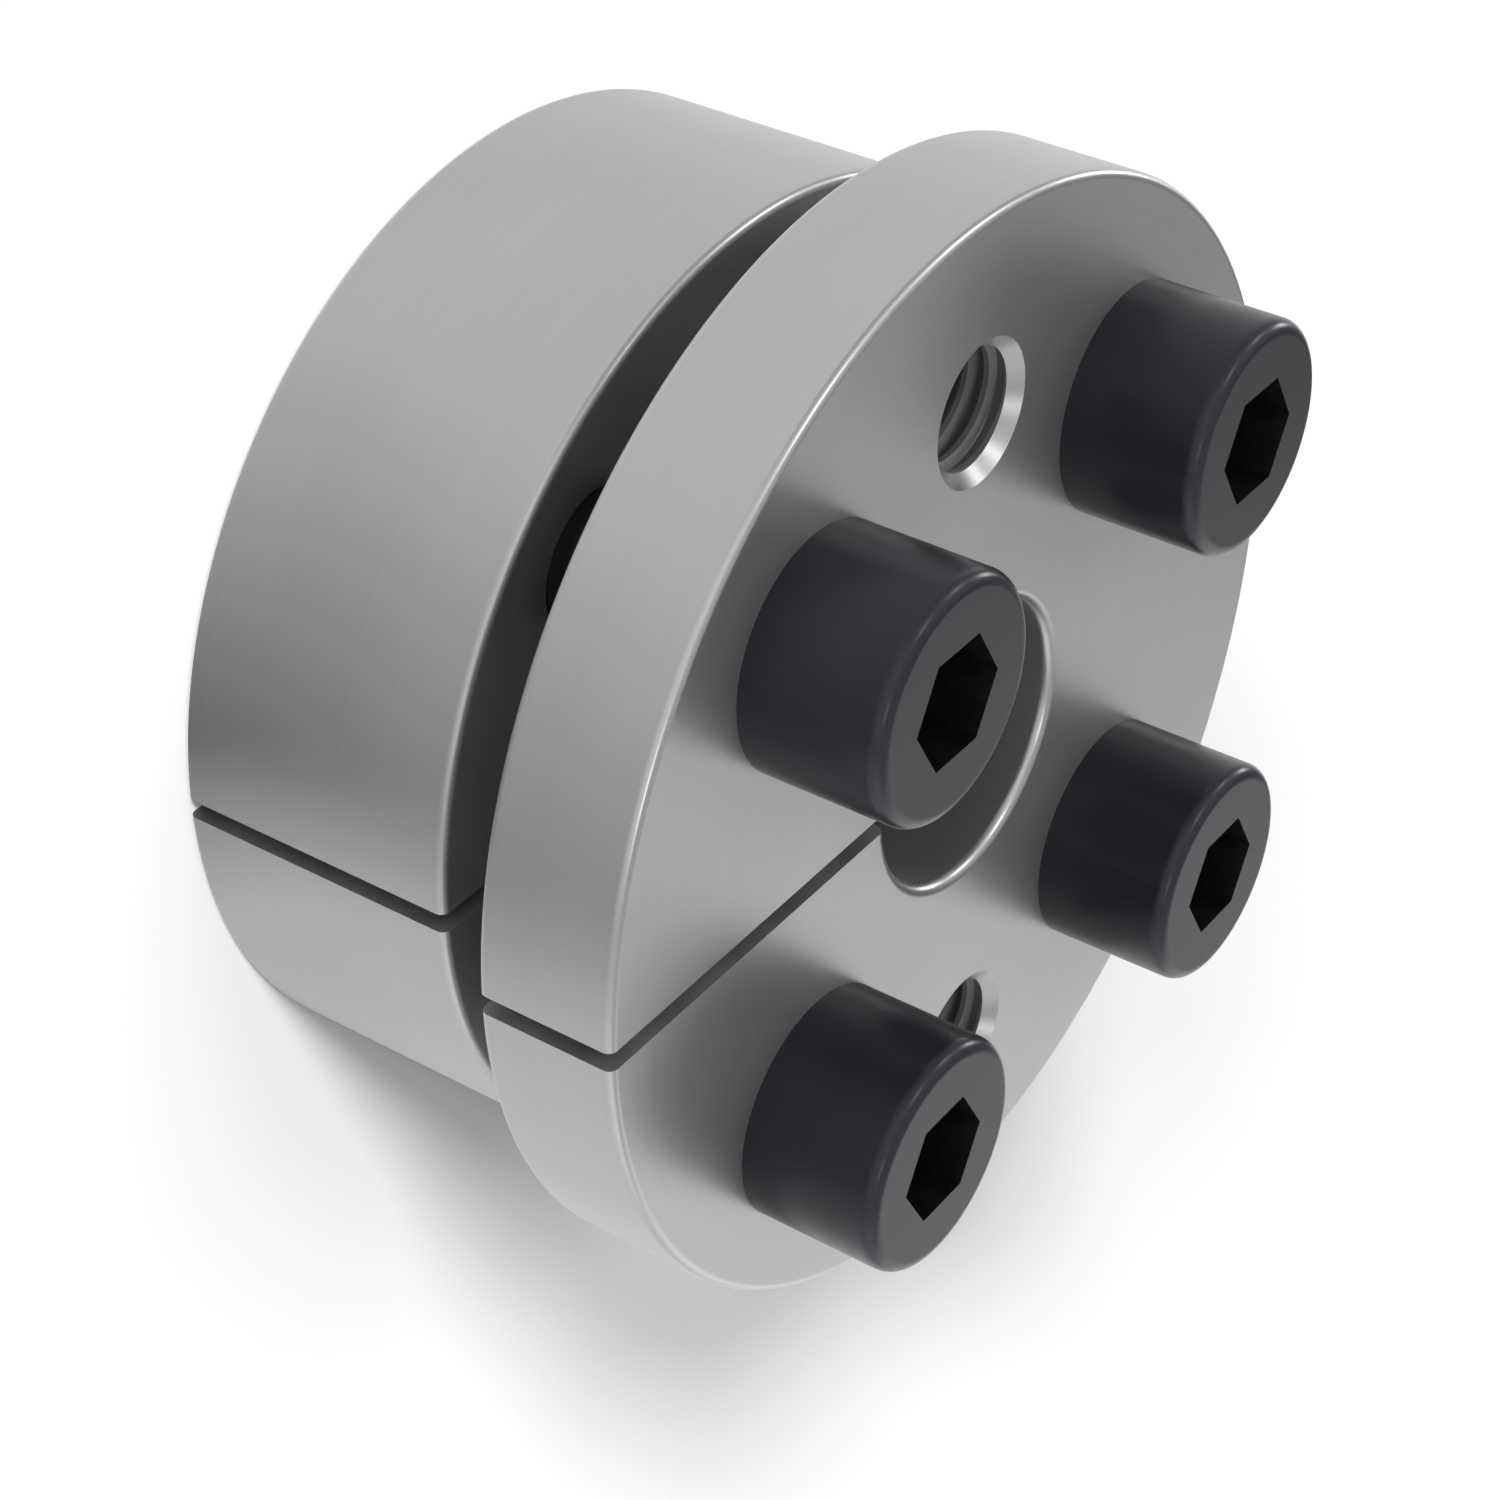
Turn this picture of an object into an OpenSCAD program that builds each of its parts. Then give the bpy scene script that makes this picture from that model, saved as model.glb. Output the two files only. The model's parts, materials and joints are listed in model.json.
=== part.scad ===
// Shaft locking assembly, in millimetres.
// A slit, flanged inner ring closes on the shaft while a slit outer ring opens in the housing.
// Both share one taper, and four socket head screws draw the outer ring up it, towards the flange.
// Z runs along the shaft axis towards the screw heads. Z = 0 is the outer ring's rear face.
// Both slits lie at -X. The two jacking holes that push the rings apart lie at +Y and -Y.
// Threads are plain: clamp threads at their outside diameter, jacking threads at their inside one.

/* [Inner ring] */
// Diameter of the shaft bore
bore_d = 16; // [10:0.5:18]
// Wall of the tapered sleeve at its thin rear end
sleeve_wall = 4.6; // [3:0.1:5.4]
// How far the sleeve's rear end lies inside the outer ring's rear face
sleeve_recess = 1; // [0.5:0.5:3]
// Diameter of the flange
flange_d = 62; // [57:0.5:75]
// Thickness of the flange
flange_t = 8; // [6:0.5:12]
// Depth of the relief groove between the taper and the flange
relief_depth = 0.4; // [0.2:0.1:0.8]
// Width of the relief groove
relief_w = 1.5; // [1:0.1:2]

/* [Outer ring] */
// Diameter of the outer ring, which seats in the housing
ring_d = 55; // [52:0.5:60]
// Length of the outer ring
ring_l = 17; // [14:0.5:30]
// Gap between the outer ring and the flange before the screws are tightened
draw_gap = 5; // [2:0.5:8]

/* [Taper and slits] */
// Angle between the taper and the shaft axis
taper_angle = 5; // [3:0.5:8]
// Radial clearance between the two tapers
taper_clearance = 0.03; // [0.02:0.01:0.1]
// Width of the slit through each ring
slit_w = 1.1; // [0.6:0.1:2]

/* [Screws and jacking holes] */
// Diameter of the circle that the screws and the jacking holes lie on
pitch_d = 40.4; // [39:0.2:44]
// Outside diameter of the screw thread
screw_d = 8; // [6:0.5:9]
// Pitch of the screw thread
thread_pitch = 1.25; // [0.75:0.05:1.5]
// Length of a screw under its head
screw_l = 25; // [20:1:28]
// Diameter of a screw head
head_d = 13; // [11.5:0.5:15]
// Height of a screw head
head_h = 8; // [7:0.5:10]
// Width across the flats of the hexagon socket
key_w = 6; // [4:0.5:7]
// Depth of the hexagon socket
key_depth = 4.5; // [3:0.1:4.8]
// Diametral play of a screw in its hole through the flange
hole_play = 1; // [0.4:0.1:2]
// Radial clearance between a screw and its hole in the outer ring
thread_clearance = 0.02; // [0.01:0.01:0.05]

/* [Edges] */
// Rounding of the outer rims of both rings
rim_round = 0.5; // [0.2:0.1:1]
// Rounding of the shaft bore's front edge
bore_round = 0.6; // [0.2:0.1:1.2]
// Rounding of a screw head's top edge
head_round = 0.8; // [0.3:0.1:1.5]
// Chamfer of the taper's edges and the bore's rear edge
edge_chamfer = 0.5; // [0.2:0.1:0.9]
// How far the countersink of a clamp hole is wider than the thread, on the radius
countersink = 0.2; // [0.1:0.05:0.5]
// Fillet between a screw's head and its shank, and the chamfer that clears it in the flange
head_fillet = 0.3; // [0.1:0.05:0.4]

/* [Hidden] */
$fn = 128;

steel = [0.67, 0.67, 0.68];
black_steel = [0.13, 0.13, 0.15];

screw_angles = [45, 135, 225, 315];
jack_angles = [90, 270];
slit_angle = 180;

// Overrun of a cut past the face that it opens
over = 0.2;

bore_r = bore_d / 2;
flange_r = flange_d / 2;
ring_r = ring_d / 2;
pitch_r = pitch_d / 2;

flange_rear = ring_l + draw_gap;
seat_z = flange_rear + flange_t;

// Depth of a 60 degree inside thread is 5/8 of the height of its sharp triangle
thread_depth = 5 / 8 * cos(30) * thread_pitch;
thread_core_r = screw_d / 2 - thread_depth;
clamp_hole_r = screw_d / 2 + thread_clearance;
flange_hole_r = (screw_d + hole_play) / 2;

key_corner_r = key_w / 2 / cos(30);
// The socket is drilled a little narrower than the hexagon, with a 120 degree point
key_land = 0.1;
key_drill_r = key_w / 2 - key_land;
key_point = key_drill_r * tan(30);

// Radius of the sleeve's taper at a height, and of the outer ring's taper around it
function sleeve_r(z) = bore_r + sleeve_wall + (z - sleeve_recess) * tan(taper_angle);
function taper_bore_r(z) = sleeve_r(z) + taper_clearance;

// What rounding takes off a corner whose arc is centred on the origin
module corner_waste(r) {
    difference() {
        square(r + over);
        circle(r);
    }
}

// Places children around the shaft axis, on the pitch circle, without turning them
module on_pitch_circle(angles) {
    for (a = angles)
        translate([pitch_r * cos(a), pitch_r * sin(a), 0])
            children();
}

// Slit from inside the bore out through the wall, between two heights
module slit(wall_r, z_low, z_high) {
    rotate(slit_angle)
        translate([0, -slit_w / 2, z_low - over])
            cube([wall_r + over, slit_w, z_high - z_low + 2 * over]);
}

// Straight hole between two heights, widened at 45 degrees to mouth_r at both ends
module chamfered_hole(r, mouth_r, z_low, z_high) {
    depth = mouth_r - r;
    translate([0, 0, z_low - over])
        cylinder(r = r, h = z_high - z_low + 2 * over);
    translate([0, 0, z_low - over])
        cylinder(r1 = mouth_r + over, r2 = r, h = depth + over);
    translate([0, 0, z_high - depth])
        cylinder(r1 = r, r2 = mouth_r + over, h = depth + over);
}

// Half section of the inner ring: bore, sleeve, relief groove and flange
module inner_profile() {
    relief_z = flange_rear - relief_w;
    relief_r = sleeve_r(relief_z) - relief_depth;
    difference() {
        polygon([
            [bore_r, sleeve_recess + edge_chamfer],
            [bore_r + edge_chamfer, sleeve_recess],
            [sleeve_r(sleeve_recess) - edge_chamfer, sleeve_recess],
            [sleeve_r(sleeve_recess + edge_chamfer), sleeve_recess + edge_chamfer],
            [sleeve_r(relief_z - relief_depth), relief_z - relief_depth],
            [relief_r, relief_z],
            [relief_r, flange_rear],
            [flange_r, flange_rear],
            [flange_r, seat_z],
            [bore_r, seat_z]
        ]);
        translate([flange_r - rim_round, seat_z - rim_round])
            corner_waste(rim_round);
        translate([flange_r - rim_round, flange_rear + rim_round])
            mirror([0, 1])
                corner_waste(rim_round);
        translate([bore_r + bore_round, seat_z - bore_round])
            mirror([1, 0])
                corner_waste(bore_round);
    }
}

// Half section of the outer ring: straight outside, tapered bore with chamfered edges
module outer_profile() {
    difference() {
        polygon([
            [taper_bore_r(0) + edge_chamfer, 0],
            [ring_r, 0],
            [ring_r, ring_l],
            [taper_bore_r(ring_l) + edge_chamfer, ring_l],
            [taper_bore_r(ring_l - edge_chamfer), ring_l - edge_chamfer],
            [taper_bore_r(edge_chamfer), edge_chamfer]
        ]);
        translate([ring_r - rim_round, ring_l - rim_round])
            corner_waste(rim_round);
        translate([ring_r - rim_round, rim_round])
            mirror([0, 1])
                corner_waste(rim_round);
    }
}

// Half section of a screw with its head's seat at height 0
module screw_profile() {
    shank_r = screw_d / 2;
    difference() {
        polygon([
            [0, -screw_l],
            [thread_core_r, -screw_l],
            [shank_r, thread_depth - screw_l],
            [shank_r, -head_fillet],
            [shank_r + head_fillet, 0],
            [head_d / 2, 0],
            [head_d / 2, head_h],
            [0, head_h]
        ]);
        translate([head_d / 2 - head_round, head_h - head_round])
            corner_waste(head_round);
        translate([shank_r + head_fillet, -head_fillet])
            circle(head_fillet);
    }
}

// Hexagon socket with its drilled point, for a head whose top is at height 0
module key_socket() {
    translate([0, 0, -key_depth])
        cylinder(r = key_corner_r, h = key_depth + over, $fn = 6);
    translate([0, 0, -key_depth])
        cylinder(r = key_drill_r, h = key_depth);
    translate([0, 0, -key_depth - key_point])
        cylinder(r1 = 0, r2 = key_drill_r, h = key_point);
}

module outer_ring() {
    color(steel)
        difference() {
            rotate_extrude()
                outer_profile();
            on_pitch_circle(screw_angles)
                chamfered_hole(clamp_hole_r, clamp_hole_r + countersink, 0, ring_l);
            slit(ring_r, 0, ring_l);
        }
}

module inner_ring() {
    color(steel)
        difference() {
            rotate_extrude()
                inner_profile();
            on_pitch_circle(screw_angles)
                chamfered_hole(flange_hole_r, flange_hole_r + head_fillet, flange_rear, seat_z);
            on_pitch_circle(jack_angles)
                chamfered_hole(thread_core_r, screw_d / 2, flange_rear, seat_z);
            slit(flange_r, sleeve_recess, seat_z);
        }
}

module clamp_screw(number) {
    color(black_steel)
        on_pitch_circle([screw_angles[number - 1]])
            translate([0, 0, seat_z])
                difference() {
                    rotate_extrude()
                        screw_profile();
                    translate([0, 0, head_h])
                        key_socket();
                }
}

outer_ring();
inner_ring();
clamp_screw(1);  // clamp_screw_1
clamp_screw(2);  // clamp_screw_2
clamp_screw(3);  // clamp_screw_3
clamp_screw(4);  // clamp_screw_4
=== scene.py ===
import json
import math

import bpy
import numpy as np
from mathutils import Euler, Matrix, Vector
from mathutils.geometry import delaunay_2d_cdt


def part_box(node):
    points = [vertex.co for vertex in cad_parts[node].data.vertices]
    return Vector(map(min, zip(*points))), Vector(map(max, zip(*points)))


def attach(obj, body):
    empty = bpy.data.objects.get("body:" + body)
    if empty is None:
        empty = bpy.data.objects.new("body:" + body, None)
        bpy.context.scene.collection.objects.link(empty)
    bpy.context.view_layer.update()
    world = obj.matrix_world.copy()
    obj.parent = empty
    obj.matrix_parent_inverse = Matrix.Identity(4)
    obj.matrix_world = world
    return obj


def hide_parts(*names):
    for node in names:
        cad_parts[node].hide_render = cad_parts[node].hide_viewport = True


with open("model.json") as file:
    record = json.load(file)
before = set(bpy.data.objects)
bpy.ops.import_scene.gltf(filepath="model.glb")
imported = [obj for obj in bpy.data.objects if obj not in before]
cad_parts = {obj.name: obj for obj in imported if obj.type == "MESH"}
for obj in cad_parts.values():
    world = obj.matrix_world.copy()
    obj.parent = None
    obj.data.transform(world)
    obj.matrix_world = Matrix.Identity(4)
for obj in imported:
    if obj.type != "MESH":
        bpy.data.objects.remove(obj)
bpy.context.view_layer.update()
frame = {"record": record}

# Sizes are in millimetres, and the frame is in metres
MM = 0.001


def top(node):
    """Height of a node's upper end in millimetres."""
    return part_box(node)[1].z / MM


def reach(node):
    """How far a node reaches along +X in millimetres."""
    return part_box(node)[1].x / MM


# The axis in plan, and places around it in degrees
AXIS = (0, 0)
SCREW_ANGLES = (45, 135, 225, 315)
JACK_ANGLES = (90, 270)

# Sizes read from the frame
MOUNTS = {m["name"]: m for m in frame["record"]["mounts"]}
BORE_R = MOUNTS["shaft_bore"]["dims"]["r_mm"]
PITCH_R = MOUNTS["jacking_hole_upper"]["pos_m"][1] / MM
RING_R = reach("outer_ring")
RING_TOP = top("outer_ring")
FLANGE_R = reach("inner_ring")
SEAT_Z = top("inner_ring")
HEAD_H = top("clamp_screw_1") - SEAT_Z
HEAD_R = reach("clamp_screw_1") - PITCH_R * math.cos(math.radians(SCREW_ANGLES[0]))
SLEEVE_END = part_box("inner_ring")[0].z / MM
SCREW_L = SEAT_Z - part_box("clamp_screw_1")[0].z / MM

# Sizes that the frame doesn't name
FLANGE_T = 8
FLANGE_REAR = SEAT_Z - FLANGE_T
FLANGE_HOLE_R = 4.5
SLEEVE_WALL = 4.6
TAPER_ANGLE = 5
TAPER_SLOPE = math.tan(math.radians(TAPER_ANGLE))
TAPER_CLEARANCE = 0.03
RELIEF_DEPTH = 0.4
RELIEF_W = 1.5
SLIT_W = 1.1
RIM_ROUND = 0.5
BORE_ROUND = 0.6
EDGE_CHAMFER = 0.5
COUNTERSINK = 0.2
HEAD_ROUND = 0.8
HEAD_FILLET = 0.3

# The screw's socket. It was drilled first, and the drill's point leans at 30 degrees.
KEY_SIDES = 6
KEY_W = 6
KEY_CORNER_R = KEY_W / 2 / math.cos(math.pi / KEY_SIDES)
KEY_DEPTH = 4.5
KEY_DRILL_R = 2.9
DRILL_SLOPE = math.tan(math.radians(30))

# The thread. It is five eighths as deep as its 30 degree flanks would be if they met. It starts
# some way below a screw's head, and in a jacking hole it deepens at the run-in's slope.
SCREW_R = 4
THREAD_PITCH = 1.25
THREAD_DEPTH = 5 / 8 * math.cos(math.radians(30)) * THREAD_PITCH
THREAD_CLEARANCE = 0.02
THREAD_START = 2
RUN_IN_SLOPE = 0.5
CORE_R = SCREW_R - THREAD_DEPTH

# How many steps a turn of a ring, a hole or a fine thread has, and how many a rounding has
RING_STEPS = 288
HOLE_STEPS = 96
FINE_STEPS = 192
ARC_STEPS = 8

# The share of a pitch that a flank's slope is taken over, and the least cut and rise that count
FLANK_STEP = 0.0001
LEAST_CUT = 1e-6
LEAST_RISE = 1e-9

# Points in one cell are merged, at this many cells to a millimetre
MERGE_CELLS = 1e5
FILL_TOLERANCE = 1e-9


class Skin:
    """The patches of one closed surface. Each corner keeps the true normal of its own patch and a
    mark on rounded edges for wear and a painted highlight, and the walls inside holes, slits and
    sockets take the second material, whose darker colour is painted shade."""

    def __init__(self):
        self.points = []
        self.normals = []
        self.worn = []
        self.faces = []
        self.inside = []
        self.count = 0

    def add(self, points, normals, faces, worn=0, inside=False):
        points, normals = np.asarray(points, float), np.asarray(normals, float)
        faces = np.asarray(faces, int)
        self.worn.append(np.zeros(len(points)) + worn)
        self.inside += (np.zeros(len(faces), bool) | inside).tolist()
        corners = points[faces]
        across = np.cross(corners[:, 2] - corners[:, 0], corners[:, -1] - corners[:, 1])
        wrong = np.einsum("ij,ij->i", across, normals[faces].sum(1)) < 0
        faces[wrong] = faces[wrong][:, ::-1]
        self.points.append(points)
        self.normals.append(normals)
        self.faces += (faces + self.count).tolist()
        self.count += len(points)

    def grid(self, points, normals, worn=0, inside=False):
        """A patch whose points and normals are arrays of rows and columns. The edge mark for wear and
        painted highlight may be one value for each row, and inside one for each face."""
        rows, columns = points.shape[:2]
        index = np.arange(rows * columns).reshape(rows, columns)
        faces = np.stack([index[:-1, :-1], index[1:, :-1], index[1:, 1:], index[:-1, 1:]], -1)
        worn = np.repeat(np.zeros(rows) + worn, columns)
        self.add(points.reshape(-1, 3), normals.reshape(-1, 3), faces.reshape(-1, 4), worn, inside)

    def build(self, name, materials):
        """The closed mesh, with points that coincide merged and faces without area left out."""
        points, normals = np.concatenate(self.points), np.concatenate(self.normals)
        cells = np.round(points * MERGE_CELLS).astype(np.int64)
        _, first, merged = np.unique(cells, axis=0, return_index=True, return_inverse=True)
        merged = merged.ravel().tolist()
        faces, corners, inside = [], [], []
        for face, is_inside in zip(self.faces, self.inside):
            kept = [c for i, c in enumerate(face) if merged[c] != merged[face[i - 1]]]
            if len(kept) > 2:
                faces.append([merged[c] for c in kept])
                corners += kept
                inside.append(is_inside)
        mesh = bpy.data.meshes.new(name)
        mesh.from_pydata((points[first] * MM).tolist(), [], faces)
        for material in materials:
            mesh.materials.append(material)
        mesh.polygons.foreach_set("use_smooth", [True] * len(faces))
        mesh.polygons.foreach_set("material_index", inside)
        mesh.normals_split_custom_set(normals[corners].tolist())
        # A mark on rounded edges, for wear and for a painted highlight
        worn = mesh.attributes.new("worn", "FLOAT", "CORNER")
        worn.data.foreach_set("value", np.concatenate(self.worn)[corners].tolist())
        return mesh


def unit(v):
    v = np.asarray(v, float)
    return v / np.linalg.norm(v, axis=-1, keepdims=True)


def arc(centre, start, end):
    """A rounding as rows of radius, height and the normal's two parts."""
    a, b = unit(start - centre), unit(end - centre)
    outward = 1 if a[0] * b[1] - a[1] * b[0] > 0 else -1
    t = np.linspace(0, 1, ARC_STEPS + 1)[:, None]
    swing = math.acos(np.clip(a @ b, -1, 1))
    ray = (np.sin((1 - t) * swing) * a + np.sin(t * swing) * b) / math.sin(swing)
    return np.hstack([centre + ray * np.linalg.norm(start - centre), ray * outward])


def profile(corners):
    """Straight and round stretches along (radius, height, rounding) corners, as rows of radius,
    height and the normal's two parts. The solid lies on the left of the path."""
    points = [np.array(c[:2], float) for c in corners]
    starts, ends, centres = list(points), list(points), {}
    for i in range(1, len(points) - 1):
        rounding = corners[i][2] if len(corners[i]) > 2 else 0
        if not rounding:
            continue
        back, on = unit(points[i - 1] - points[i]), unit(points[i + 1] - points[i])
        half = math.acos(np.clip(back @ on, -1, 1)) / 2
        centres[i] = points[i] + unit(back + on) * rounding / math.sin(half)
        starts[i] = points[i] + back * rounding / math.tan(half)
        ends[i] = points[i] + on * rounding / math.tan(half)
    stretches = []
    for i in range(len(points)):
        if i in centres:
            stretches.append(arc(centres[i], starts[i], ends[i]))
        if i + 1 < len(points):
            along = unit(starts[i + 1] - ends[i])
            normal = np.array([along[1], -along[0]])
            stretches.append(np.array([[*ends[i], *normal], [*starts[i + 1], *normal]]))
    return stretches


def full_turn(steps):
    """Angles of a whole turn, whatever the radius."""
    return lambda r: np.linspace(-math.pi, math.pi, steps + 1)


def slit_turn(r):
    """Angles from one side of the slit at -X round to the other."""
    return np.linspace(-1, 1, RING_STEPS + 1) * (math.pi - math.asin(SLIT_W / 2 / r))


def slit_arc(r):
    """A circle that is open at the slit."""
    a = slit_turn(r)
    return np.stack([r * np.cos(a), r * np.sin(a)], -1)


def turn(skin, stretch, angles, centre=AXIS, inside=False):
    """Turns a stretch of a profile around an axis. A rounded edge is marked most in its middle,
    for wear and for a painted highlight.
    """
    worn = np.sin(np.linspace(0, math.pi, len(stretch))) if len(stretch) > 2 else 0
    points, normals = [], []
    for r, z, nr, nz in stretch:
        a = angles(r)
        points.append(np.stack([centre[0] + r * np.cos(a), centre[1] + r * np.sin(a), 0 * a + z], -1))
        normals.append(np.stack([nr * np.cos(a), nr * np.sin(a), 0 * a + nz], -1))
    skin.grid(np.array(points), np.array(normals), worn, inside)


def circle(r, centre=AXIS, steps=HOLE_STEPS):
    a = full_turn(steps)(r)[:-1]
    return np.stack([centre[0] + r * np.cos(a), centre[1] + r * np.sin(a)], -1)


def fill(loops):
    """Triangles of the area that an odd number of the loops enclose."""
    points = np.concatenate(loops)
    edges, start = [], 0
    for loop in loops:
        n = len(loop)
        edges += [(start + i, start + (i + 1) % n) for i in range(n)]
        start += n
    vectors = [Vector(p) for p in points.tolist()]
    out, _, triangles, *_ = delaunay_2d_cdt(vectors, edges, [], 0, FILL_TOLERANCE)
    out = np.array([tuple(v) for v in out])
    nearest = [int(np.argmin(((points - v) ** 2).sum(1))) for v in out]
    triangles = np.array(nearest)[np.array([t for t in triangles if len(t) == 3])]
    middle = points[triangles].mean(1)
    inside = np.zeros(len(middle), bool)
    for a, b in edges:
        (xa, ya), (xb, yb) = points[a], points[b]
        if ya != yb:
            crosses = (ya > middle[:, 1]) != (yb > middle[:, 1])
            x = xa + (middle[:, 1] - ya) / (yb - ya) * (xb - xa)
            inside ^= crosses & (middle[:, 0] < x)
    return points, triangles[inside]


def flat(skin, loops, z, facing, inside=False):
    """A flat patch at one height that faces up or down."""
    points, triangles = fill(loops)
    points = np.column_stack([points, np.full(len(points), z)])
    skin.add(points, np.tile((0, 0, facing), (len(points), 1)), triangles, 0, inside)


def on_pitch_circle(angle):
    return PITCH_R * math.cos(math.radians(angle)), PITCH_R * math.sin(math.radians(angle))


class Hole:
    """A round hole between two heights, countersunk at 45 degrees at both ends."""

    def __init__(self, angle, r, mouth_r, low, high, thread=None):
        self.centre = on_pitch_circle(angle)
        self.r, self.mouth_r, self.low, self.high = r, mouth_r, low, high
        self.thread = thread
        self.steps = FINE_STEPS if thread is jacking_thread else HOLE_STEPS

    def mouth(self):
        return circle(self.mouth_r, self.centre, self.steps)

    def line(self, skin):
        """Both countersinks, and the threaded or plain wall between them."""
        depth = self.mouth_r - self.r
        low, high = self.low + depth, self.high - depth
        corners = [(self.mouth_r, self.high), (self.r, high), (self.r, low), (self.mouth_r, self.low)]
        upper, wall, lower = profile(corners)
        for countersink in (upper, lower):
            turn(skin, countersink, full_turn(self.steps), self.centre)
        if self.thread:
            self.thread(skin, self, low, high)
        else:
            turn(skin, wall, full_turn(self.steps), self.centre, True)


# One turn of the thread's section as shares of the pitch: a crest, a flank, a root and a flank
THREAD_SECTION = np.array([0, 1, 6, 10, 15, 16]) / 16


def thread_radius(share, core_r, crest_r):
    """Radius of an outside thread where share says how far along a pitch the section is cut."""
    radii = [crest_r, crest_r, core_r, core_r, crest_r, crest_r]
    return np.interp(share % 1, THREAD_SECTION, radii)


def helix(skin, centre, low, high, core_r, crest_r, limit, outward, cuts, steps=HOLE_STEPS):
    """A threaded wall between two heights, with rows at cuts along each pitch. limit takes the
    heights and radii of the thread, and returns the radii that its ends leave. outward is 1 on
    a screw and -1 in a hole."""
    angles = full_turn(steps)(0)
    turns = angles / (2 * math.pi)
    first = math.floor((low - SEAT_Z) / THREAD_PITCH) - 1
    last = math.ceil((high - SEAT_Z) / THREAD_PITCH) + 1
    shares = np.concatenate([np.asarray(cuts) + k for k in range(first, last + 1)])
    radial = np.stack([np.cos(angles), np.sin(angles), 0 * angles], -1)
    around = np.stack([-np.sin(angles), np.cos(angles), 0 * angles], -1)
    upright = np.array([0, 0, 1])
    for pair in zip(shares[:-1], shares[1:]):
        z = np.clip(SEAT_Z + (np.array(pair)[:, None] + turns) * THREAD_PITCH, low, high)
        if (z[0] == z[1]).all():
            continue
        r = thread_radius((z - SEAT_Z) / THREAD_PITCH - turns, core_r, crest_r)
        cut_r = limit(z, r)
        ends = thread_radius(np.mean(pair) + np.array([-1, 1]) * FLANK_STEP, core_r, crest_r)
        flank = (ends[1] - ends[0]) / (2 * FLANK_STEP * THREAD_PITCH)
        is_cut = np.abs(cut_r - r).mean(0) > LEAST_CUT
        rise = np.maximum(z[1] - z[0], LEAST_RISE)
        slope = np.where(is_cut, (cut_r[1] - cut_r[0]) / rise, flank)
        lead = np.where(is_cut, 0, flank * THREAD_PITCH / (2 * math.pi)) / cut_r.mean(0)
        normal = outward * unit(radial + lead[:, None] * around - slope[:, None] * upright)
        points = cut_r[..., None] * radial + z[..., None] * upright + np.array([*centre, 0])
        skin.grid(points, np.stack([normal, normal]), 0, outward < 0)


# Rows along a pitch as shares of it, which take in the corners of the thread's section
FINE_CUTS = np.arange(16) / 16
COARSE_CUTS = np.array([1, 3.5, 6, 8, 10, 12.5, 15, 16]) / 16


def jacking_thread(skin, hole, low, high):
    """Inside thread of a jacking hole, which deepens from the core below the countersinks."""

    def limit(z, r):
        return np.minimum(r, hole.r + RUN_IN_SLOPE * np.minimum(high - z, z - low))

    helix(skin, hole.centre, low, high, hole.r, SCREW_R, limit, -1, FINE_CUTS, hole.steps)


def clamp_thread(skin, hole, low, high):
    """Inside thread of a clamp hole, whose countersinks are wider than the thread."""

    def limit(z, r):
        return np.maximum(r, hole.r - np.minimum(high - z, z - low))

    core_r = hole.r - THREAD_DEPTH
    helix(skin, hole.centre, low, high, core_r, hole.r, limit, -1, COARSE_CUTS, hole.steps)


def slit_walls(skin, outline):
    """The two flat walls that the slit leaves of a turned outline."""
    for side in (-1, 1):
        y = side * SLIT_W / 2
        wall = np.column_stack([-np.sqrt(outline[:, 0] ** 2 - y * y), outline[:, 1]])
        points, triangles = fill([wall])
        points = np.column_stack([points[:, 0], np.full(len(points), y), points[:, 1]])
        skin.add(points, np.tile((0, -side, 0), (len(points), 1)), triangles, 0, True)


def ring(name, corners, holes, materials):
    """A slit ring turned from a closed profile, with holes along its axis."""
    skin = Skin()
    outline = []
    for stretch in profile(corners):
        _, z, _, facing = stretch[0]
        outline.append(stretch[:-1, :2])
        is_flat = abs(facing) == 1 and len(stretch) == 2
        ends = [h for h in holes if is_flat and z in (h.low, h.high)]
        if not ends:
            turn(skin, stretch, slit_turn)
            continue
        first, last = (slit_arc(r) for r in stretch[:, 0])
        flat(skin, [np.concatenate([first, last[::-1]])] + [h.mouth() for h in ends], z, facing)
    for hole in holes:
        hole.line(skin)
    slit_walls(skin, np.concatenate(outline))
    return skin.build(name, materials)


def sleeve_r(z):
    """Radius of the inner ring's tapered sleeve at a height."""
    return BORE_R + SLEEVE_WALL + (z - SLEEVE_END) * TAPER_SLOPE


def taper_bore_r(z):
    """Radius of the outer ring's tapered bore at a height."""
    return sleeve_r(z) + TAPER_CLEARANCE


def make_inner_ring(materials):
    relief_z = FLANGE_REAR - RELIEF_W
    relief_r = sleeve_r(relief_z) - RELIEF_DEPTH
    chamfer_z = SLEEVE_END + EDGE_CHAMFER
    corners = [
        (BORE_R, chamfer_z),
        (BORE_R + EDGE_CHAMFER, SLEEVE_END),
        (sleeve_r(SLEEVE_END) - EDGE_CHAMFER, SLEEVE_END),
        (sleeve_r(chamfer_z), chamfer_z),
        (sleeve_r(relief_z - RELIEF_DEPTH), relief_z - RELIEF_DEPTH),
        (relief_r, relief_z),
        (relief_r, FLANGE_REAR),
        (FLANGE_R, FLANGE_REAR, RIM_ROUND),
        (FLANGE_R, SEAT_Z, RIM_ROUND),
        (BORE_R, SEAT_Z, BORE_ROUND),
        (BORE_R, chamfer_z),
    ]
    mouth_r = FLANGE_HOLE_R + HEAD_FILLET
    holes = [Hole(a, FLANGE_HOLE_R, mouth_r, FLANGE_REAR, SEAT_Z) for a in SCREW_ANGLES]
    holes += [Hole(a, CORE_R, SCREW_R, FLANGE_REAR, SEAT_Z, jacking_thread) for a in JACK_ANGLES]
    return ring("inner_ring_turned", corners, holes, materials)


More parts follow.
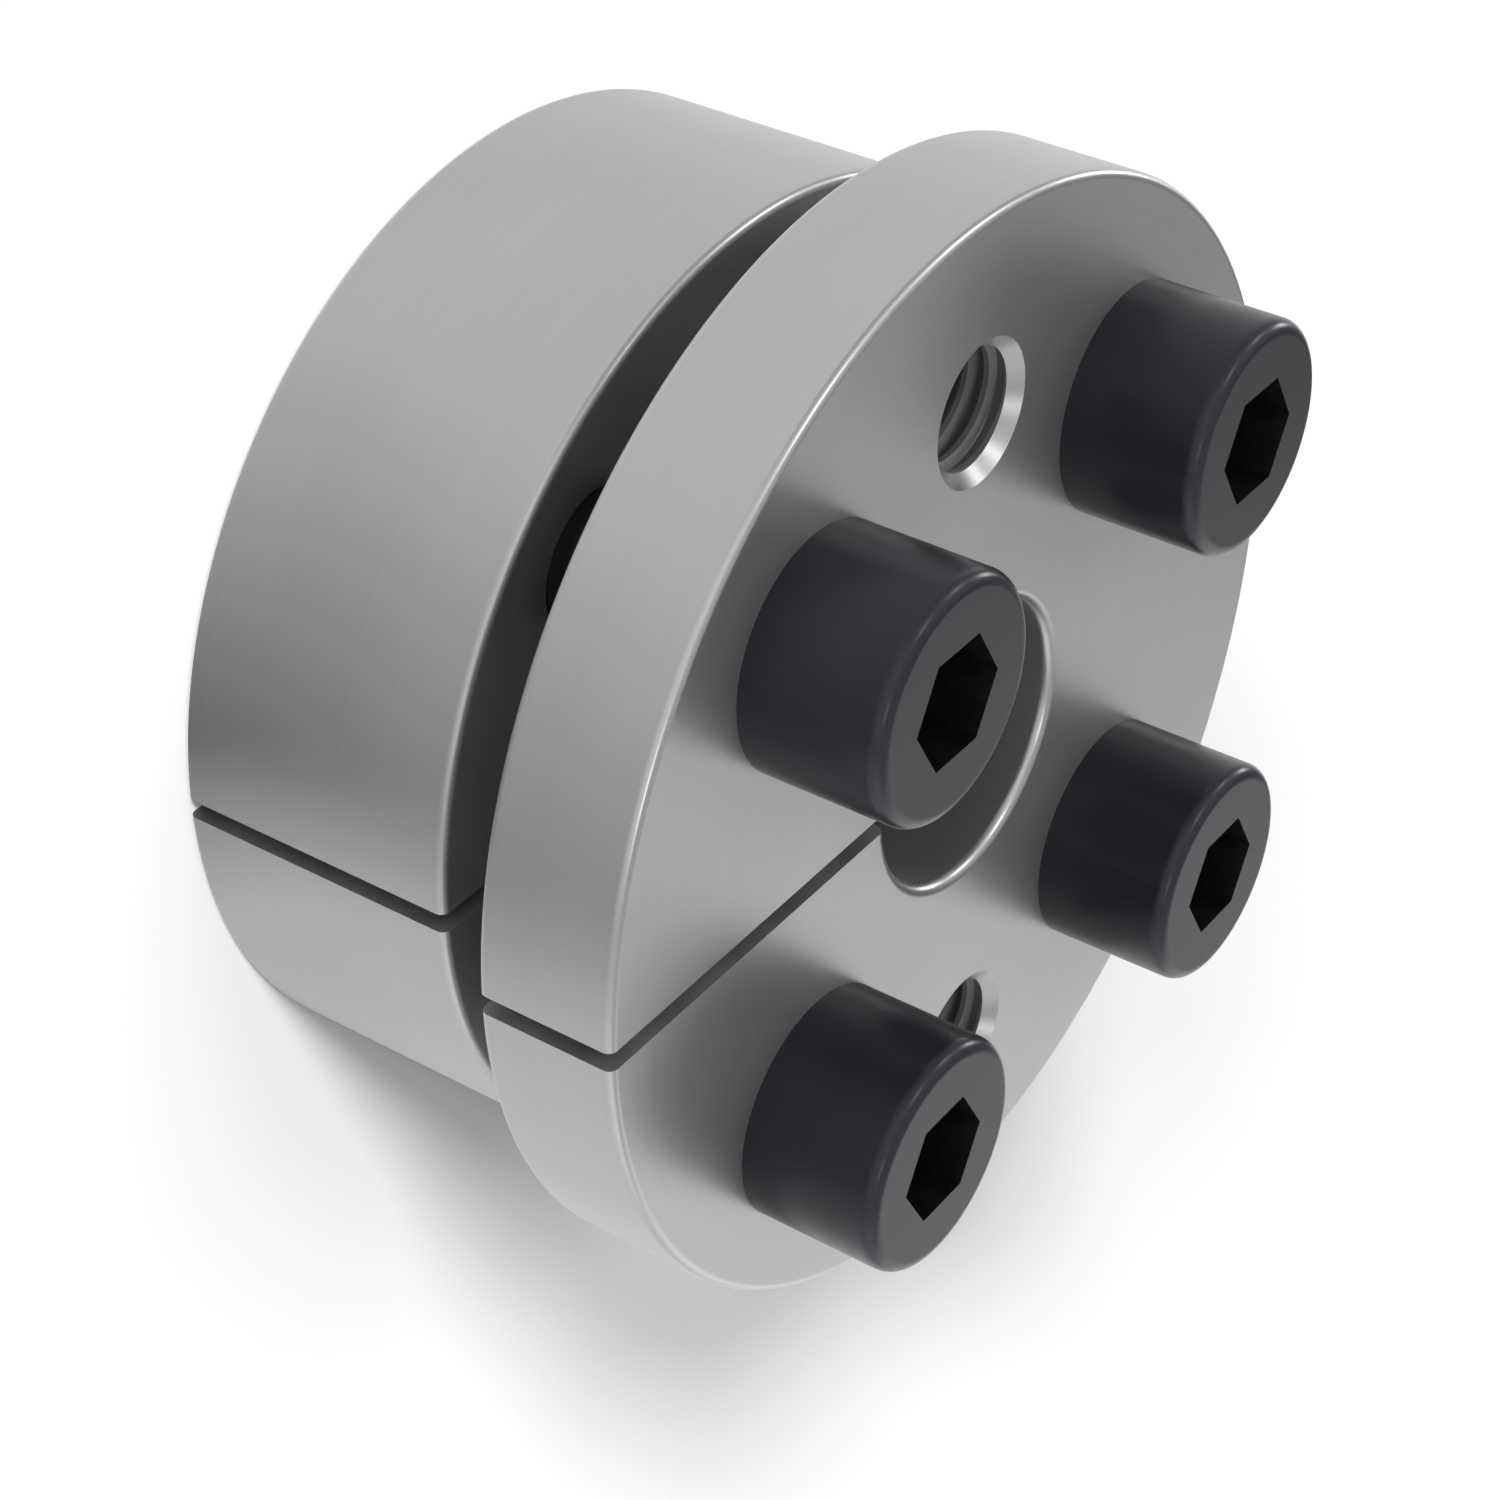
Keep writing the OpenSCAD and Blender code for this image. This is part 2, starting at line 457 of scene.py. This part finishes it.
def make_outer_ring(materials):
    corners = [
        (taper_bore_r(EDGE_CHAMFER), EDGE_CHAMFER),
        (taper_bore_r(0) + EDGE_CHAMFER, 0),
        (RING_R, 0, RIM_ROUND),
        (RING_R, RING_TOP, RIM_ROUND),
        (taper_bore_r(RING_TOP) + EDGE_CHAMFER, RING_TOP),
        (taper_bore_r(RING_TOP - EDGE_CHAMFER), RING_TOP - EDGE_CHAMFER),
        (taper_bore_r(EDGE_CHAMFER), EDGE_CHAMFER),
    ]
    hole_r = SCREW_R + THREAD_CLEARANCE
    holes = [Hole(a, hole_r, hole_r + COUNTERSINK, 0, RING_TOP, clamp_thread) for a in SCREW_ANGLES]
    return ring("outer_ring_turned", corners, holes, materials)


def key_socket(skin, hexagon, top_z):
    """The six walls of a screw's socket, its floor and the point that the drill left."""
    floor_z = top_z - KEY_DEPTH
    for a, b in zip(hexagon, np.roll(hexagon, -1, 0)):
        points = np.array([[(*a, z), (*b, z)] for z in (top_z, floor_z)])
        skin.grid(points, np.zeros(points.shape) - unit([*(a + b) / 2, 0]), 0, True)
    drilled = circle(KEY_DRILL_R)
    flat(skin, [hexagon, drilled], floor_z, 1, True)
    point_z = floor_z - KEY_DRILL_R * DRILL_SLOPE
    rim = np.array([(*p, floor_z) for p in [*drilled, drilled[0]]])
    tip = np.zeros(rim.shape) + (0, 0, point_z)
    normals = unit(-rim * (1, 1, 0) + (0, 0, KEY_DRILL_R / DRILL_SLOPE))
    skin.grid(np.stack([rim, tip]), np.stack([normals, normals]), 0, True)


def make_screw_mesh(materials):
    """A socket head screw around its own axis, whose thread runs to just under its head."""
    skin = Skin()
    tip, top_z = SEAT_Z - SCREW_L, SEAT_Z + HEAD_H
    start = SEAT_Z - THREAD_START

    def limit(z, r):
        return np.minimum(np.maximum(r, SCREW_R + z - start), CORE_R + z - tip)

    flat(skin, [circle(CORE_R)], tip, -1)
    helix(skin, AXIS, tip, start, CORE_R, SCREW_R, limit, 1, COARSE_CUTS)
    corners = [
        (SCREW_R, start),
        (SCREW_R, SEAT_Z, HEAD_FILLET),
        (HEAD_R, SEAT_Z),
        (HEAD_R, top_z, HEAD_ROUND),
        (HEAD_R - 2 * HEAD_ROUND, top_z),
    ]
    for stretch in profile(corners)[:-1]:
        turn(skin, stretch, full_turn(HOLE_STEPS))
    hexagon = circle(KEY_CORNER_R, steps=KEY_SIDES)
    flat(skin, [circle(HEAD_R - HEAD_ROUND), hexagon], top_z, 1)
    key_socket(skin, hexagon, top_z)
    return skin.build("cap_screw", materials)


def stand(name, data):
    """A new object in the scene."""
    piece = bpy.data.objects.new(name, data)
    bpy.context.scene.collection.objects.link(piece)
    return piece


# Camera, solved from the photograph: its place in millimetres and its turn in degrees
PHOTO_PX = 1500
CAMERA_PLACE = (-129.01, 110.25, 109.25)
CAMERA_TURN = (-35.242, -55.127, 0.149)
FOCAL_PX = 3562.8
CENTRE_PX = (807.2, 683.5)
SENSOR_MM = 36
CLIP_START = 10


def add_camera():
    data = bpy.data.cameras.new("camera")
    data.sensor_width = SENSOR_MM
    data.lens = FOCAL_PX / PHOTO_PX * SENSOR_MM
    data.shift_x = 0.5 - CENTRE_PX[0] / PHOTO_PX
    data.shift_y = CENTRE_PX[1] / PHOTO_PX - 0.5
    data.clip_start = CLIP_START * MM
    camera = stand("camera", data)
    camera.location = Vector(CAMERA_PLACE) * MM
    camera.rotation_euler = Euler([math.radians(a) for a in CAMERA_TURN])
    bpy.context.scene.camera = camera


# Light. A lamp or glow stands at an azimuth and elevation in degrees. A lamp is a disc as wide as
# its angle, and its share is what a white surface that faces it shows. A glow's strength is its
# radiance in the world, and its spread is the angle at which it has faded out.
LAMPS = {
    "lamp_high": (77, 53, 10, 0.1),
    "lamp_right": (34, 33, 12, 0.1),
    "lamp_low": (4, 14, 12, 0.14),
    "lamp_left": (182, 58, 10, 0.07),
}
# Lamps that light the floor alone, for its soft shadows
FLOOR_LAMPS = {
    "floor_lamp_main": (118, 24, 14, 6.4),
    "floor_lamp_low": (132, 15, 10, 3.4),
    "floor_lamp_above": (95, 58, 30, 1.1),
}
# The world's own radiance, and the glows that are added to it
WORLD_LEVEL = 0.21
GLOWS = {
    "glow_camera": (150, 26, 50, 1.1),
    "glow_above": (100, 30, 46, 0.5),
    "glow_high": (50, 65, 55, 0.6),
    "glow_front": (300, 17, 34, 1.5),
    "glow_front_high": (268, 42, 46, 0.55),
    "glow_left": (212, 26, 46, 0.45),
    "glow_left_low": (240, 8, 42, 1),
    "glow_right": (30, 20, 46, 0.4),
}
# The floor's width in millimetres, and how light its paint is
FLOOR_SIZE = 40000
FLOOR_COLOUR = 0.2
# A wedge of painted shade in the floor's colour, in millimetres and degrees. Only reflections see it,
# # as a painted dark reflection in the steel. It is darkest along its azimuth, ends at the angles of
# # its two sides, and loses some of its shade between two distances from its apex.
WEDGE_APEX = (-15, 7)
WEDGE_AZIMUTH = 193
WEDGE_SIDES = (-105, 38)
WEDGE_SHADE = 0.82
WEDGE_FADE = (20, 50)
WEDGE_LOSS = 0.22


def direction(azimuth, elevation):
    """Unit vector towards an azimuth and elevation in degrees."""
    a, e = math.radians(azimuth), math.radians(elevation)
    return Vector((math.cos(e) * math.cos(a), math.cos(e) * math.sin(a), math.sin(e)))


def add_lamp(name, azimuth, elevation, angle, share):
    data = bpy.data.lights.new(name, "SUN")
    data.angle = math.radians(angle)
    data.energy = share * math.pi
    lamp = stand(name, data)
    lamp.rotation_euler = direction(azimuth, elevation).to_track_quat("Z", "Y").to_euler()
    return lamp


def add_lamps(floor):
    for name, lamp in LAMPS.items():
        add_lamp(name, *lamp)
    floor_only = bpy.data.collections.new("floor_only")
    floor_only.objects.link(floor)
    for name, lamp in FLOOR_LAMPS.items():
        add_lamp(name, *lamp).light_linking.receiver_collection = floor_only


# Values between which most of a noise lies
NOISE_LOW = 0.3
NOISE_HIGH = 0.7


class Tree:
    """A node tree that is written as formulas. A socket, a number or a vector can be an input."""

    def __init__(self, owner):
        owner.use_nodes = True
        self.tree = owner.node_tree
        self.tree.nodes.clear()

    def node(self, kind, inputs=(), out=0, **settings):
        made = self.tree.nodes.new("ShaderNode" + kind)
        for name, value in settings.items():
            setattr(made, name, value)
        for key, value in dict(inputs).items():
            if isinstance(value, bpy.types.NodeSocket):
                self.tree.links.new(value, made.inputs[key])
            else:
                made.inputs[key].default_value = value
        return None if out is None else made.outputs[out]

    def math(self, operation, *values):
        return self.node("Math", enumerate(values), operation=operation)

    def vector(self, operation, *values, out=0):
        return self.node("VectorMath", enumerate(values), out, operation=operation)

    def ramp(self, value, low, high, low_out, high_out, smooth=False):
        inputs = {"Value": value, "From Min": low, "From Max": high}
        inputs.update({"To Min": low_out, "To Max": high_out})
        return self.node("MapRange", inputs, interpolation_type="SMOOTHSTEP" if smooth else "LINEAR")

    def noise(self, vector, scale, detail=1):
        return self.node("TexNoise", {"Vector": vector, "Scale": scale, "Detail": detail})

    def between(self, noise, low, high):
        """Brings a noise to between two values."""
        return self.ramp(noise, NOISE_LOW, NOISE_HIGH, low, high)

    def wear_and_highlight(self, shade, rough, brighter, smoother):
        """The shade and roughness on marked edges: smoother from wear, and lighter, partly from wear
        and partly as a painted highlight.
        """
        worn = self.node("Attribute", out="Fac", attribute_name="worn")
        shade = self.math("ADD", shade, self.math("MULTIPLY", worn, brighter))
        rough = self.math("SUBTRACT", rough, self.math("MULTIPLY", worn, smoother))
        return shade, rough

    def grey(self, shade, blue=1):
        """A colour of one shade, with its blue made stronger or weaker."""
        blue_shade = shade if blue == 1 else self.math("MULTIPLY", shade, blue)
        return self.node("CombineColor", {0: shade, 1: shade, 2: blue_shade})

    def principled(self, inputs):
        """The shader that a material ends in."""
        shader = self.node("BsdfPrincipled", inputs)
        self.node("OutputMaterial", {"Surface": shader}, None)


def new_material(name):
    material = bpy.data.materials.new(name)
    return material, Tree(material)


def add_world():
    world = bpy.data.worlds.new("studio")
    bpy.context.scene.world = world
    tree = Tree(world)
    towards = tree.node("TexCoord", out="Generated")
    total = WORLD_LEVEL
    for azimuth, elevation, spread, strength in GLOWS.values():
        facing = tree.vector("DOT_PRODUCT", towards, direction(azimuth, elevation), out="Value")
        edge = math.cos(math.radians(spread))
        total = tree.math("ADD", total, tree.ramp(facing, edge, 1, 0, strength, True))
    background = tree.node("Background", {"Strength": total})
    tree.node("OutputWorld", {"Surface": background}, None)


def floor_shade(tree):
    """How dark the wedge of painted shade is at a place on the floor. Only reflections see it, as
    a painted dark reflection in the steel.
    """
    apex = (WEDGE_APEX[0] * MM, WEDGE_APEX[1] * MM, 0)
    away = tree.vector("SUBTRACT", tree.node("TexCoord", out="Object"), apex)
    along = tree.vector("DOT_PRODUCT", away, direction(WEDGE_AZIMUTH, 0), out="Value")
    beside = tree.vector("DOT_PRODUCT", away, direction(WEDGE_AZIMUTH + 90, 0), out="Value")
    angle = tree.math("ARCTAN2", beside, along)
    low, high = (math.radians(side) for side in WEDGE_SIDES)
    rise = tree.ramp(angle, low, 0, 0, WEDGE_SHADE)
    wedge = tree.math("MINIMUM", rise, tree.ramp(angle, 0, high, WEDGE_SHADE, 0))
    near, far = (r * MM for r in WEDGE_FADE)
    loss = tree.ramp(tree.vector("LENGTH", away, out="Value"), near, far, 0, WEDGE_LOSS)
    shade = tree.math("MAXIMUM", tree.math("SUBTRACT", wedge, loss), 0)
    return tree.math("MULTIPLY", shade, tree.node("LightPath", out="Is Glossy Ray"))


def add_floor():
    """A pale floor. Reflections see a wedge of painted shade on it, a painted dark reflection like
    the one a dark flag beside the object would give."""
    half = FLOOR_SIZE / 2 * MM
    mesh = bpy.data.meshes.new("floor")
    corners = [(-half, -half, 0), (half, -half, 0), (half, half, 0), (-half, half, 0)]
    mesh.from_pydata(corners, [], [(0, 1, 2, 3)])
    floor = stand("floor", mesh)
    material, tree = new_material("floor")
    lightness = tree.math("SUBTRACT", 1, floor_shade(tree))
    colour = tree.grey(tree.math("MULTIPLY", lightness, FLOOR_COLOUR))
    tree.node("OutputMaterial", {"Surface": tree.node("BsdfDiffuse", {"Color": colour})}, None)
    mesh.materials.append(material)
    return floor


# How many marks of each noise a metre holds, and how far apart the lathe's rings are in millimetres
RING_BLOTCHES = 90
HOLE_BLOTCHES = 300
SCREW_BLOTCHES = 160
SCREW_GRAIN = 2500
SOCKET_BLOTCHES = 900
LATHE_PITCH = 0.14
LATHE_DETAIL = 3


def lathe_marks(tree, place):
    """Height of fine rings around the axis: lines on a face that was faced, and on a side that
    was turned."""
    radius = tree.vector("LENGTH", tree.vector("MULTIPLY", place, (1, 1, 0)), out="Value")
    height = tree.node("SeparateXYZ", {0: place}, "Z")
    across = tree.node("CombineXYZ", {0: radius, 1: height})
    return tree.noise(across, 1 / (LATHE_PITCH * MM), LATHE_DETAIL)


def ring_steel():
    """Satin turned steel, with fine lathe rings, soft blotches and lighter rounded edges, partly
    from wear and partly as a painted highlight.
    """
    material, tree = new_material("ring_steel")
    place = tree.node("TexCoord", out="Object")
    lines = lathe_marks(tree, place)
    blotches = tree.noise(place, RING_BLOTCHES)
    shade = tree.math("ADD", tree.between(blotches, 0.4, 0.42), tree.between(lines, -0.01, 0.01))
    rough = tree.between(blotches, 0.34, 0.37)
    # Rounded edges are lighter, partly from wear and partly as a painted highlight
    shade, rough = tree.wear_and_highlight(shade, rough, brighter=0.03, smoother=0.05)
    tree.principled({
        "Base Color": tree.grey(shade, blue=1.01),
        "Roughness": rough,
        "Metallic": 0.84,
        "Normal": tree.node("Bump", {"Strength": 0.03, "Distance": 0.02 * MM, "Height": lines}),
    })
    return material


def hole_steel():
    """The same steel on walls that a drill, a tap or a saw cut, with random blotches. Its darker
    colour is painted shade for these hollows.
    """
    material, tree = new_material("hole_steel")
    hole_blotches = tree.noise(tree.node("TexCoord", out="Object"), HOLE_BLOTCHES)
    tree.principled({
        "Base Color": tree.grey(tree.between(hole_blotches, 0.22, 0.28), blue=0.97),
        "Roughness": tree.between(hole_blotches, 0.5, 0.58),
        "Metallic": 0.6,
    })
    return material


def screw_steel():
    """Black oxide on a forged and turned screw: near black, a little blue, with a soft sheen."""
    material, tree = new_material("screw_steel")
    place = tree.node("TexCoord", out="Object")
    blotches = tree.noise(place, SCREW_BLOTCHES)
    grain = tree.noise(place, SCREW_GRAIN)
    shade = tree.between(blotches, 0.016, 0.02)
    rough = tree.math("ADD", tree.between(blotches, 0.3, 0.32), tree.between(grain, -0.004, 0.004))
    # Rounded edges are lighter, partly from wear and partly as a painted highlight
    shade, rough = tree.wear_and_highlight(shade, rough, brighter=0.01, smoother=0.04)
    tree.principled({
        "Base Color": tree.grey(shade, blue=1.25),
        "Roughness": rough,
        "Metallic": 0,
        "Normal": tree.node("Bump", {"Strength": 0.002, "Distance": 0.01 * MM, "Height": grain}),
        "Specular IOR Level": 0.22,
        "Specular Tint": (0.93, 0.94, 1, 1),
    })
    return material


def socket_black():
    """Black oxide inside the socket, darker than the head as painted shade for its hollow."""
    material, tree = new_material("socket_black")
    socket_blotches = tree.noise(tree.node("TexCoord", out="Object"), SOCKET_BLOTCHES)
    tree.principled({
        "Base Color": tree.grey(tree.between(socket_blotches, 0.003, 0.006)),
        "Roughness": tree.between(socket_blotches, 0.42, 0.5),
        "Metallic": 0,
        "Specular IOR Level": 0.2,
    })
    return material


def add_piece(name, mesh, node, place=AXIS):
    """Puts a piece on the body in the place of its CAD node."""
    piece = stand(name, mesh)
    piece.matrix_world = Matrix.Translation((place[0] * MM, place[1] * MM, 0))
    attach(piece, "root")
    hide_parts(node)


add_camera()
add_world()
add_lamps(add_floor())
bpy.context.scene.view_settings.view_transform = "Standard"

# The second material of the rings paints shade into the walls of their holes and slits
ring_materials = ring_steel(), hole_steel()
# The second material of the screw paints shade into its socket
screw_materials = screw_steel(), socket_black()
add_piece("outer_ring_turned", make_outer_ring(ring_materials), "outer_ring")
add_piece("inner_ring_turned", make_inner_ring(ring_materials), "inner_ring")
screw = make_screw_mesh(screw_materials)
for number, angle in enumerate(SCREW_ANGLES, 1):
    place = on_pitch_circle(angle)
    add_piece(f"cap_screw_{number}", screw, f"clamp_screw_{number}", place)
